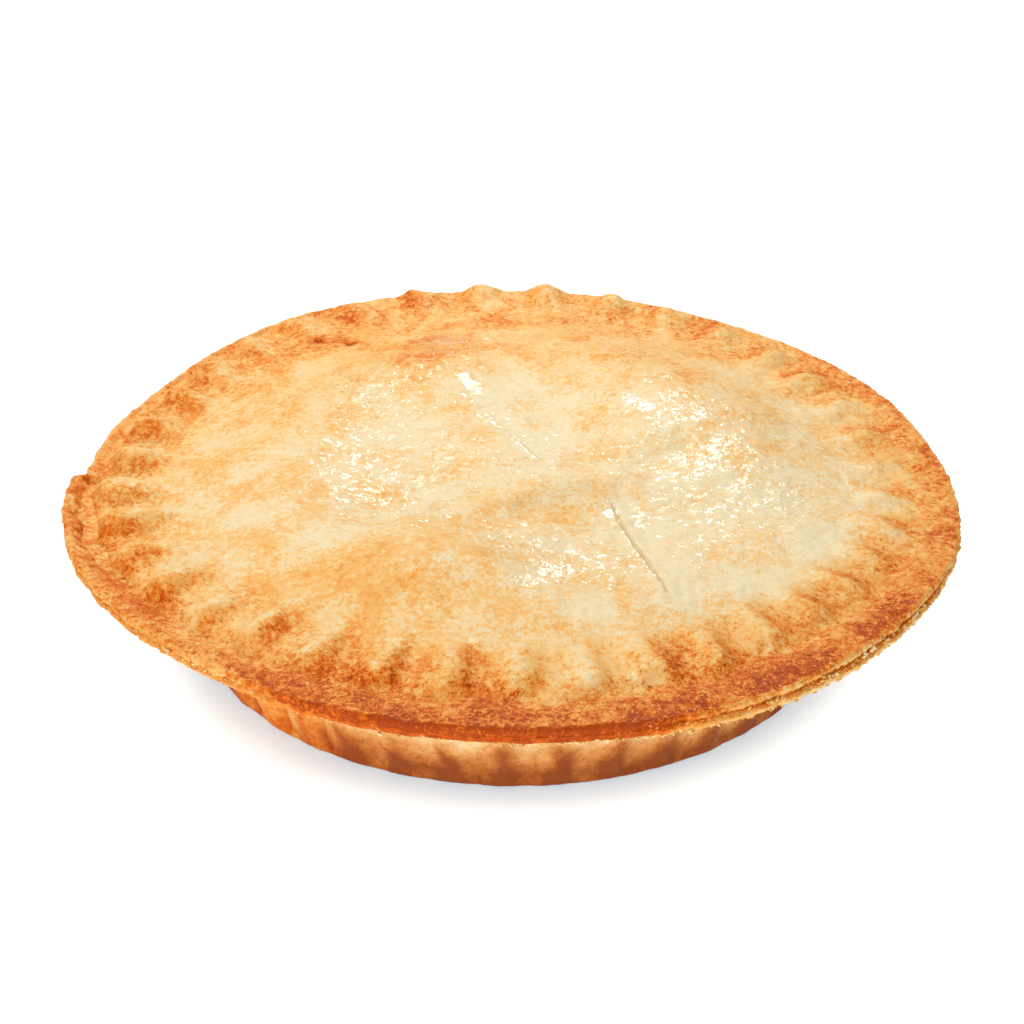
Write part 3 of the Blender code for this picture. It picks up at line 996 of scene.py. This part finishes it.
    def shape(self, flat: Array, station: Array) -> Array:
        """Move the blank's points to the baked lid.

        Args:
            flat: points of the blank.
            station: their stations.

        Returns:
            The moved points.
        """
        form, grain = self.form, self.grain
        x, y = flat[:, 0], flat[:, 1]
        radius, angle = np.hypot(x, y), np.arctan2(y, x)
        ground = np.column_stack([x, y, np.zeros(len(x))])
        stray_x, stray_y = self.strayed(flat)
        rim_share = ease((radius - 56.0) / 20.0)
        height = form.lid_top(stray_x, stray_y)
        height += 0.16 * grain.rough(ground, 7.0, 3)
        height += (0.09 + 0.09 * rim_share) * grain.rough(ground + 50.0, 2.4, 2, 0.7)
        height -= 0.11 * grain.creased(ground + 23.0, 3.4)
        near, after = grain.pocks(ground, 1.9)
        height += rim_share * 0.10 * np.clip(after - near, 0.0, 0.5)
        craggy = near_angle(angle, 130.0, 24.0) * ease((radius - 60.0) / 8.0)
        height += 0.40 * craggy * grain.rough(ground + 70.0, 4.5, 3, 0.6)
        gutter = near_angle(angle, 198.0, 22.0) * np.exp(-((radius - form.crimp_end(angle)) / 1.9) ** 2)
        height -= 0.5 * gutter
        height += sum(pit.height * pit.share(x, y) for pit in self.pits)
        for slit in form.slits:
            height += slit.relief(x, y, 0.22 * grain.plain(ground, 6.0))
        height = np.minimum(height, self.ceiling)

        outward = ease((radius - form.reach_start) / (form.rim_radius - form.reach_start))
        circle = np.column_stack([form.rim_radius * np.cos(angle), form.rim_radius * np.sin(angle),
                                  np.zeros(len(x))])
        ragged = form.nibble * grain.plain(circle, form.nibble_size)
        ragged += 0.20 * grain.rough(circle, 1.3, 2, 0.6) * ease((radius - 76.0) / 3.5)
        grown = radius + outward * (form.reach(angle, False) + ragged)

        top = station == Station.TOP.value
        edge = station == Station.EDGE.value
        fused = form.fused(angle)
        seam = np.clip((form.level - flat[:, 2]) / form.sheet, 0.0, 1.0)
        edge_height = flat[:, 2] + form.edge_lift(angle)
        edge_height += 0.12 * (1.0 - 0.6 * fused) * grain.rough(flat + 11.0, 1.6, 2)
        edge_height -= fused * 0.3 * ease((seam - 0.7) / 0.3)
        flaky = 0.22 * (1.0 - 0.7 * fused) * seam * grain.rough(flat * np.array([1.0, 1.0, 2.5]), 1.1, 2)
        closed = fused * ease((seam - 0.4) / 0.3) * (form.rim_radius - radius)
        grown = grown + np.where(edge, flaky + closed, 0.0)
        under_height = flat[:, 2] + form.waves(angle, form.height_waves) * ease(radius / form.rim_radius)
        z = np.where(top, height, np.where(edge, edge_height, under_height))
        grown = np.where(station == Station.UNDER.value, radius, grown)
        return np.column_stack([grown * np.cos(angle), grown * np.sin(angle), z])

    def tones(self, flat: Array, station: Array, shaped: Array) -> dict[str, Array]:
        """How browned, glazed and coarse the crust is at each point, with painted shade and light mixed into the
        browning.

        Args:
            flat: points of the blank.
            station: their stations.
            shaped: the shaped points; not used.

        Returns:
            Name of each share to its values.
        """
        form, grain = self.form, self.grain
        x, y = flat[:, 0], flat[:, 1]
        radius, angle = np.hypot(x, y), np.arctan2(y, x)
        ground = np.column_stack([x, y, np.zeros(len(x))])
        warmed = (0.11 + 0.22 * near_angle(angle, 66.0, 36.0) + 0.22 * near_angle(angle, 118.0, 24.0)
                  + 0.10 * near_angle(angle, 165.0, 30.0) + 0.09 * near_angle(angle, 245.0, 34.0)
                  - 0.05 * near_angle(angle, 335.0, 30.0))
        browned = (0.45 + 0.24 * near_angle(angle, 312.0, 38.0) + 0.20 * near_angle(angle, 250.0, 36.0)
                   - 0.06 * near_angle(angle, 84.0, 22.0))
        outer = np.clip((radius - 58.0) / 18.5, 0.0, 1.0)
        bake_and_shade = 0.06 + (warmed - 0.06) * ease((radius - 25.0) / 20.0)
        bake_and_shade += (browned - bake_and_shade) * outer
        bake_and_shade += 0.20 * near_angle(angle, 312.0, 30.0) * np.exp(-((radius - 65.0) / 5.0) ** 2)
        bake_and_shade += sum(tint.height * tint.share(x, y) for tint in self.tints)
        stray_x, stray_y = self.strayed(flat)
        turn = form.from_crest(np.arctan2(stray_y, stray_x))
        # Crimp flanks: darker on the flank turned from the lights, paler on the flank turned to them. Partly real
        # browning, partly painted shade and painted light.
        flank = np.exp(-((turn - 0.22) / 0.15) ** 2) - np.exp(-((turn + 0.08) / 0.18) ** 2)
        start = form.crimp_end(angle)
        crimped = ease((radius - start + 15.0) / 7.0) * ease((start + 0.5 - radius) / 3.5)
        bake_and_shade += (0.12 + 0.06 * near_angle(angle, 275.0, 50.0)) * crimped * flank
        # At the left: darker in the groove inside the lip, which is painted shade, and paler on the lip beyond it,
        # which is painted light.
        bake_and_shade += 0.16 * near_angle(angle, 195.0, 20.0) * np.exp(-((radius - start) / 2.2) ** 2)
        bake_and_shade -= 0.14 * near_angle(angle, 195.0, 20.0) * ease((radius - start - 2.5) / 2.0)
        bake_and_shade += (0.08 - 0.03 * outer) * grain.rough(ground, 12.0, 3, 0.7)
        bake_and_shade += (0.06 + 0.06 * outer) * grain.rough(ground + 5.0, 2.6, 2, 0.7)
        bake_and_shade += sum(0.40 * pit.share(x, y) for pit in self.pits)

        wet = 0.10 * ease((62.0 - radius) / 14.0) + 0.14 * outer * near_angle(angle, 300.0, 55.0)
        wet += sum(pool.height * pool.share(x, y) for pool in self.pools)
        wet += sum(glint.height * glint.share(x, y) for glint in self.glints)
        coarse = 0.08 + 0.92 * ease((radius - 56.0) / 16.0)
        coarse *= 0.55 + 0.45 * near_angle(angle, 275.0, 70.0) + 0.2 * grain.rough(ground + 37.0, 5.0, 2)
        fleck = 0.28 + 0.10 * outer + 0.22 * form.fold_share(x, y) + 0.5 * grain.rough(ground + 61.0, 8.0, 2)
        fleck += 0.35 * form.swells[6].share(x, y)
        speckled = near_angle(angle, 235.0, 50.0) * ease((radius - 25.0) / 15.0)
        fleck += 0.16 * speckled
        bake_and_shade -= 0.06 * speckled
        cut = np.zeros(len(x))
        for slit in form.slits:
            along, across = slit.place(x, y)
            side = across - 0.22 * grain.plain(ground, 6.0)
            beside = ease((1.15 - np.abs(along)) / 0.3)
            pale = beside * np.exp(-((side - 2.4) / 1.8) ** 2)
            bake_and_shade -= 0.10 * pale
            fleck -= 0.4 * pale
            wet += 0.22 * beside * np.exp(-((side + 0.5) / 0.45) ** 2)
            cut = np.maximum(cut, 0.8 * slit.opened(along) * np.exp(-(side / (0.8 * slit.half_width)) ** 2))

        edge = station == Station.EDGE.value
        seam = np.clip((form.level - flat[:, 2]) / form.sheet, 0.0, 1.0)
        fused = form.fused(angle)
        parted = near_angle(angle, 315.0, 30.0)
        face = 0.42 - 0.03 * near_angle(angle, 230.0, 20.0) + 0.10 * grain.rough(flat, 2.0, 2)
        face += parted * (0.12 - 0.25 * np.exp(-((seam - 0.35) / 0.2) ** 2))
        # The fused edge band is dark partly from browning and partly from painted shade, as it faces down and away
        # from the lights.
        band = 0.86 + 0.08 * near_angle(angle, 285.0, 26.0) - 0.20 * near_angle(angle, 238.0, 12.0)
        band += 0.05 * grain.rough(flat, 2.5, 2)
        bake_and_shade = np.where(edge, face + fused * (band - face), bake_and_shade)
        coarse = np.where(edge, coarse * (1.0 - 0.75 * fused), coarse)
        return {"bake_and_shade": bake_and_shade, "wet": wet, "coarse": coarse, "fleck": fleck, "cut": cut}


@dataclass
class BaseCrust:
    """The lower sheet of pastry: flange, fluted wall and flat bottom."""

    form: PieForm
    grain: Grain
    steps_per_flute: int = 18
    wall_rings: int = 38
    pleat_angle: float = 226.0
    pleat_spread: float = 15.0

    def profile(self) -> list[tuple[float, float, Station]]:
        """Outline of one half of the crust, from its hidden top down to its bottom.

        Returns:
            Radius, height and station of each ring.
        """
        form = self.form
        top = form.level - form.sheet + 0.04
        rings = [(0.0, top, Station.UNDER), (60.0, top, Station.UNDER), (77.5, top, Station.UNDER)]
        for inset, drop in ((1.4, 0.0), (0.8, -0.06), (0.35, -0.22), (0.08, -0.45), (0.0, -0.70),
                            (0.04, -0.95), (0.25, -1.22), (0.6, -1.42)):
            rings.append((form.rim_radius - inset, top + drop, Station.EDGE))
        outer, inner = form.rim_radius - 1.1, form.wall_top_radius + 0.8
        for ring in range(17):
            rings.append((outer + (inner - outer) * ring / 16.0, form.rim_underside, Station.EDGE))
        for ring in range(self.wall_rings + 1):
            share = ring / self.wall_rings
            radius = form.wall_top_radius + (form.base_radius - form.wall_top_radius) * share
            height = form.rim_underside - 0.6 + (form.base_round - form.rim_underside + 0.6) * share
            rings.append((radius, height, Station.WALL))
        for ring in range(1, 7):
            turn = math.pi / 2.0 * ring / 7.0
            radius = form.base_radius - form.base_round * (1.0 - math.cos(turn))
            rings.append((radius, form.base_round * (1.0 - math.sin(turn)), Station.WALL))
        for ring in range(14):
            share = (1.0 - ring / 14.0) ** 0.8
            rings.append(((form.base_radius - form.base_round) * share, 0.0, Station.BOTTOM))
        rings.append((0.0, 0.0, Station.BOTTOM))
        return rings

    def blank(self) -> bmesh.types.BMesh:
        """Turn the outline about the pie's axis.

        Returns:
            The crust's closed mesh in millimetres, with a station on every point.
        """
        crust = bmesh.new()
        layer = crust.verts.layers.int.new("station")
        corners = []
        for radius, height, station in self.profile():
            corner = crust.verts.new((radius, 0.0, height))
            corner[layer] = station.value
            corners.append(corner)
        for a, b in zip(corners, corners[1:]):
            crust.edges.new((a, b))
        bmesh.ops.spin(crust, geom=crust.verts[:] + crust.edges[:], cent=(0.0, 0.0, 0.0), axis=(0.0, 0.0, 1.0),
                       angle=math.tau, steps=self.form.flutes * self.steps_per_flute, use_merge=True)
        bmesh.ops.remove_doubles(crust, verts=crust.verts, dist=0.001)
        bmesh.ops.recalc_face_normals(crust, faces=crust.faces)
        return crust

    def build(self, finish: bpy.types.Material) -> bpy.types.Object:
        """Make the crust, shape it and store what its finish reads.

        Args:
            finish: its material.

        Returns:
            The finished piece.
        """
        piece = new_piece("base_crust", self.blank(), finish)
        mesh = piece.data
        turned = places(mesh)
        station = stations(mesh)
        for name, values in self.tones(turned, station).items():
            set_share(mesh, name, values)
        set_places(mesh, to_frame(self.shape(turned, station), self.form))
        return piece

    def shape(self, turned: Array, station: Array) -> Array:
        """Move the turned skin to the baked crust.

        Args:
            turned: points of the turned blank.
            station: their stations.

        Returns:
            The moved points.
        """
        form, grain = self.form, self.grain
        radius, angle = np.hypot(turned[:, 0], turned[:, 1]), np.arctan2(turned[:, 1], turned[:, 0])
        z = turned[:, 2]
        warp = form.waves(angle, form.height_waves)
        edge = station == Station.EDGE.value
        wall = station == Station.WALL.value
        under = station == Station.UNDER.value
        fused = form.fused(angle)
        circle = np.column_stack([form.rim_radius * np.cos(angle), form.rim_radius * np.sin(angle),
                                  np.zeros(len(z))])
        apart = circle + np.array([0.0, 0.0, 40.0])
        ragged = form.nibble * grain.plain(circle, form.nibble_size)
        ragged += 0.28 * (1.0 - 0.7 * fused) * grain.rough(apart, 1.4, 2, 0.6)
        flaky = 0.25 * (1.0 - 0.7 * fused) * grain.rough(turned * np.array([1.0, 1.0, 3.0]), 1.2, 2)
        outward = ease((radius - form.reach_start) / (form.rim_radius - form.reach_start))
        reach = outward * (form.reach(angle, True) + ragged + flaky * ease((radius - 77.0) / 3.0))
        closed = fused * (form.rim_radius - radius) * ease((z - form.rim_underside - 0.7) / 0.4)
        closed = np.where(radius > form.rim_radius - 1.5, closed, 0.0)

        flute = form.flute_depth * ease(z / form.base_round)
        flute = flute * (1.0 - form.rib(angle + 0.008 * grain.plain(turned, 9.0), form.flute_sharpness))
        crease = self.creases(turned, angle)
        skin = 0.20 * grain.rough(turned, 6.0, 3) - 0.10 * grain.creased(turned + 3.0, 4.2)
        near, _ = grain.pocks(turned, 2.3)
        pores = 0.16 * ease((0.42 - near) / 0.3)
        moved = radius + np.where(edge, reach + closed, 0.0)
        moved += np.where(wall, skin - pores - flute - 0.7 * crease * ease(z / form.base_round), 0.0)
        up = ease((z - form.base_round) / (form.rim_underside - form.base_round))
        outer = ease((radius - form.wall_top_radius) / (form.rim_radius - form.wall_top_radius))
        edge_lift = warp + (form.edge_lift(angle) - warp) * outer
        lift = np.where(wall, warp * up, np.where(edge, edge_lift, 0.0))
        lift = np.where(under, warp * ease(radius / form.rim_radius), lift)
        flange = np.where(edge & (z < form.rim_underside + 0.05), 0.10 * grain.rough(turned, 3.0, 2), 0.0)
        return np.column_stack([moved * np.cos(angle), moved * np.sin(angle), z + lift + flange])

    def creases(self, turned: Array, angle: Array) -> Array:
        """Sharp pleats of the wall, which show at its left.

        Args:
            turned: points of the turned blank.
            angle: their angles in radians.

        Returns:
            1 in a crease, falling to 0 round it.
        """
        swayed = angle + 0.010 * self.grain.plain(turned + 17.0, 8.0)
        phase = self.form.flutes * (swayed - math.radians(self.form.first_rib)) / math.tau
        from_valley = phase % 1.0 - 0.5
        sharp = np.where(from_valley > 0.0, np.exp(-from_valley / 0.05), np.exp(from_valley / 0.22))
        return sharp * near_angle(angle, self.pleat_angle, self.pleat_spread)

    def tones(self, turned: Array, station: Array) -> dict[str, Array]:
        """How browned, glazed and coarse the crust is at each point, with painted shade mixed into the edge band's
        browning.

        Args:
            turned: points of the turned blank.
            station: their stations.

        Returns:
            Name of each share to its values.
        """
        form, grain = self.form, self.grain
        angle = np.arctan2(turned[:, 1], turned[:, 0])
        z = turned[:, 2]
        up = np.clip(z / form.rim_underside, 0.0, 1.0)
        rib = form.rib(angle + 0.020 * grain.plain(turned, 6.0), 2.4)
        around = np.column_stack([np.cos(angle), np.sin(angle), np.zeros(len(z))]) * form.base_radius
        peak = 0.74 + 0.30 * grain.plain(around + 9.0, 9.0)
        stain = rib * ease((peak - up) / 0.50)
        pleated = near_angle(angle, self.pleat_angle, self.pleat_spread)
        bake_and_shade = 0.92 - 0.46 * ease(up / 0.46) - 0.45 * ease((up - 0.32) / 0.34)
        bake_and_shade += 0.36 * stain * (1.0 - 0.7 * pleated) + (0.50 - bake_and_shade) * 0.8 * pleated
        bake_and_shade -= 0.06 * near_angle(angle, 315.0, 20.0)
        bake_and_shade += 0.30 * self.creases(turned, angle)
        bake_and_shade += 0.11 * grain.rough(turned, 5.0, 3, 0.6)
        bottom = station == Station.BOTTOM.value
        bake_and_shade = np.where(bottom, 0.62 + 0.16 * grain.rough(turned, 14.0, 4, 0.6), bake_and_shade)

        edge = (station == Station.EDGE.value) & (z > form.rim_underside + 0.05)
        from_top = np.clip((form.level - form.sheet - z) / form.sheet, 0.0, 1.0)
        parted = near_angle(angle, 315.0, 30.0)
        face = 0.44 + 0.10 * near_angle(angle, 225.0, 25.0) + 0.10 * grain.rough(turned, 2.0, 2)
        face += parted * (0.26 * np.exp(-(from_top / 0.22) ** 2) - 0.22 * np.exp(-((from_top - 0.7) / 0.25) ** 2))
        # The fused edge band is dark partly from browning and partly from painted shade, as it faces down and away
        # from the lights.
        band = 0.85 + 0.08 * near_angle(angle, 285.0, 26.0) - 0.20 * near_angle(angle, 238.0, 12.0)
        band -= 0.08 * ease((from_top - 0.5) / 0.5)
        band += 0.07 * grain.rough(turned, 2.5, 2)
        fused = form.fused(angle)
        bake_and_shade = np.where(edge, face + fused * (band - face), bake_and_shade)
        return {"bake_and_shade": bake_and_shade, "wet": np.zeros(len(z)), "coarse": np.where(edge, 0.7 - 0.45 * fused, 0.03),
                "fleck": np.where(edge, 0.4, 0.3), "wall": np.where(edge, 0.0, 1.0 - 0.8 * pleated)}


@dataclass
class EdgeCrumbs:
    """Flakes and crumbs that cling to the rim's cut edge."""

    form: PieForm
    grain: Grain
    seed: int = 5
    count: int = 1100
    largest: float = 0.95
    smallest_share: float = 0.28
    fringe: tuple[tuple[float, float, float, float], ...] = (
        (0.52, 292.0, 22.0, 0.35), (0.26, 318.0, 16.0, 1.45), (0.16, 230.0, 9.0, 1.20), (0.06, 150.0, 60.0, 1.20))

    def build(self, finish: bpy.types.Material) -> bpy.types.Object:
        """Scatter the crumbs along the seam.

        Args:
            finish: their material.

        Returns:
            The finished piece.
        """
        form = self.form
        draw = np.random.default_rng(self.seed)
        heap = bmesh.new()
        shares = np.array([row[0] for row in self.fringe])
        for _ in range(self.count):
            _, mark, spread, over = self.fringe[draw.choice(len(self.fringe), p=shares / shares.sum())]
            angle = math.radians(draw.normal(mark, spread))
            size = self.largest * (self.smallest_share + (1.0 - self.smallest_share) * draw.random() ** 3)
            spot = np.array([angle])
            radius = form.rim_radius + form.reach(spot, True)[0] - 0.10 - 0.25 * size - 0.25 * draw.random()
            height = form.rim_underside + over + 0.25 * draw.normal() + form.edge_lift(spot)[0]
            turn = Matrix.Rotation(angle, 4, "Z") @ Matrix.Rotation(draw.uniform(-0.9, 0.9), 4, "X")
            squash = Matrix.Diagonal((draw.uniform(0.5, 1.0), draw.uniform(0.8, 1.8), draw.uniform(0.25, 0.6), 1.0))
            at = Matrix.Translation((radius * math.cos(angle), radius * math.sin(angle), height))
            made = bmesh.ops.create_icosphere(heap, subdivisions=1, radius=0.5 * size, matrix=at @ turn @ squash)
            for vert in made["verts"]:
                vert.co += Vector(draw.uniform(-0.13, 0.13, 3) * size)
        piece = new_piece("edge_crumbs", heap, finish)
        points = places(piece.data)
        set_share(piece.data, "bake_and_shade", 0.30 + 0.40 * self.grain.rough(points, 2.2, 2))
        set_share(piece.data, "wet", np.zeros(len(points)))
        set_share(piece.data, "coarse", np.full(len(points), 0.5))
        set_share(piece.data, "fleck", np.full(len(points), 0.5))
        set_places(piece.data, to_frame(points, form))
        return piece


def to_frame(points: Array, form: PieForm) -> Array:
    """Points in millimetres about the rim's own middle, in metres in the part's frame."""
    trimmed = points * np.array([form.trim, form.trim, 1.0])
    return (trimmed + np.array([form.shift[0], form.shift[1], 0.0])) * MM


# --------------------------------------------------------------------------
# Studio
# --------------------------------------------------------------------------


@dataclass(frozen=True)
class Lamp:
    """One square soft light that faces the pie."""

    name: str
    place: tuple[float, float, float]
    side: float
    watts: float
    colour: str = "#FFFFFF"


@dataclass
class Studio:
    """White floor, soft lights and the camera at the photo's angle."""

    elevation: float = 30.0
    distance: float = 0.400
    lens: float = 76.33
    aim: tuple[float, float, float] = (-0.00012, 0.00048, 0.01848)
    floor_size: float = 6.0
    floor_tone: str = "#B4BCC2"
    # Glow right round the pie's foot: dimmer and bluer, a painted shadow.
    foot_shadow_glow: str = "#A9B4BC"
    near_radius: float = 58.0
    far_glow: str = "#EEEEEE"
    far_radius: float = 71.0
    sky: float = 0.27
    lamps: tuple[Lamp, ...] = (
        Lamp("overhead", (-0.18, 0.30, 0.62), 0.32, 3.05),
        Lamp("window", (0.10, 0.75, 0.50), 0.18, 2.3),
        Lamp("front_fill", (-0.20, -0.90, 0.34), 0.80, 6.6))

    def camera(self) -> None:
        """Put the camera where the photo was taken from."""
        tilt = math.radians(self.elevation)
        data = bpy.data.cameras.new("photo_camera")
        data.sensor_width = 36.0
        data.lens = self.lens
        eye = bpy.data.objects.new("photo_camera", data)
        eye.location = (self.aim[0], self.aim[1] - self.distance * math.cos(tilt),
                        self.aim[2] + self.distance * math.sin(tilt))
        eye.rotation_euler = (math.radians(90.0) - tilt, 0.0, 0.0)
        bpy.context.scene.collection.objects.link(eye)
        bpy.context.scene.camera = eye

    def lights(self) -> None:
        """Hang the lamps and light the sky."""
        for lamp in self.lamps:
            data = bpy.data.lights.new(lamp.name, "AREA")
            data.shape = "SQUARE"
            data.size = lamp.side
            data.energy = lamp.watts
            data.color = linear(lamp.colour)[:3]
            thing = bpy.data.objects.new(lamp.name, data)
            thing.location = lamp.place
            thing.rotation_euler = (-Vector(lamp.place)).to_track_quat("-Z", "Y").to_euler()
            bpy.context.scene.collection.objects.link(thing)
        world = bpy.data.worlds.new("studio")
        world.use_nodes = True
        background = world.node_tree.nodes["Background"]
        background.inputs["Color"].default_value = linear("#FFFFFF")
        background.inputs["Strength"].default_value = self.sky
        bpy.context.scene.world = world

    def floor(self) -> bpy.types.Object:
        """Lay the white floor, which glows, dimmer and bluer in a painted shadow round the pie's foot.

        Returns:
            The floor.
        """
        sheet = bmesh.new()
        bmesh.ops.create_grid(sheet, x_segments=1, y_segments=1, size=self.floor_size / 2.0)
        paper = bpy.data.materials.new("white acrylic sheet, lit from below")
        paper.use_nodes = True
        tree = paper.node_tree
        shader = tree.nodes["Principled BSDF"]
        place = add_node(tree, Kind.PLACE).outputs["Object"]
        away = add_node(tree, Kind.VECTOR, {0: place}, operation="LENGTH").outputs["Value"]
        share = add_node(tree, Kind.RANGE, {"Value": away, "From Min": self.near_radius * MM,
                                            "From Max": self.far_radius * MM},
                         interpolation_type="SMOOTHSTEP").outputs[0]
        # The glow fades from the painted shadow at the foot out to the plain floor's glow.
        glow_with_painted_shadow = add_node(tree, Kind.BLEND, {0: share, 6: linear(self.foot_shadow_glow), 7: linear(self.far_glow)},
                        data_type="RGBA").outputs[2]
        tree.links.new(glow_with_painted_shadow, shader.inputs["Emission Color"])
        shader.inputs["Base Color"].default_value = linear(self.floor_tone)
        shader.inputs["Emission Strength"].default_value = 1.0
        shader.inputs["Roughness"].default_value = 0.9
        shader.inputs["Specular IOR Level"].default_value = 0.1
        floor = new_piece("floor", sheet, paper)
        return floor

    def build(self) -> None:
        """Set up the whole studio."""
        self.camera()
        self.lights()
        self.floor()
        bpy.context.scene.view_settings.view_transform = "Standard"


def main() -> None:
    """Build every piece and report it."""
    logging.basicConfig(level=logging.INFO, format="%(message)s")
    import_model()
    form = PieForm()
    grain = Grain(seed=41)
    Studio().build()
    makers: tuple[tuple[Callable[[bpy.types.Material], bpy.types.Object], BakedPastry], ...] = (
        (LidSheet(form, grain).build, LID_FINISH),
        (BaseCrust(form, grain).build, BASE_FINISH),
        (EdgeCrumbs(form, grain).build, CRUMB_FINISH))
    for make, finish in makers:
        piece = make(finish.material())
        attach(piece, BODY)
        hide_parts(NODE)
        piece.data.calc_loop_triangles()
        log.info("%s: %d triangles, %s", piece.name, len(piece.data.loop_triangles), finish.name)


if __name__ == "__main__":
    main()
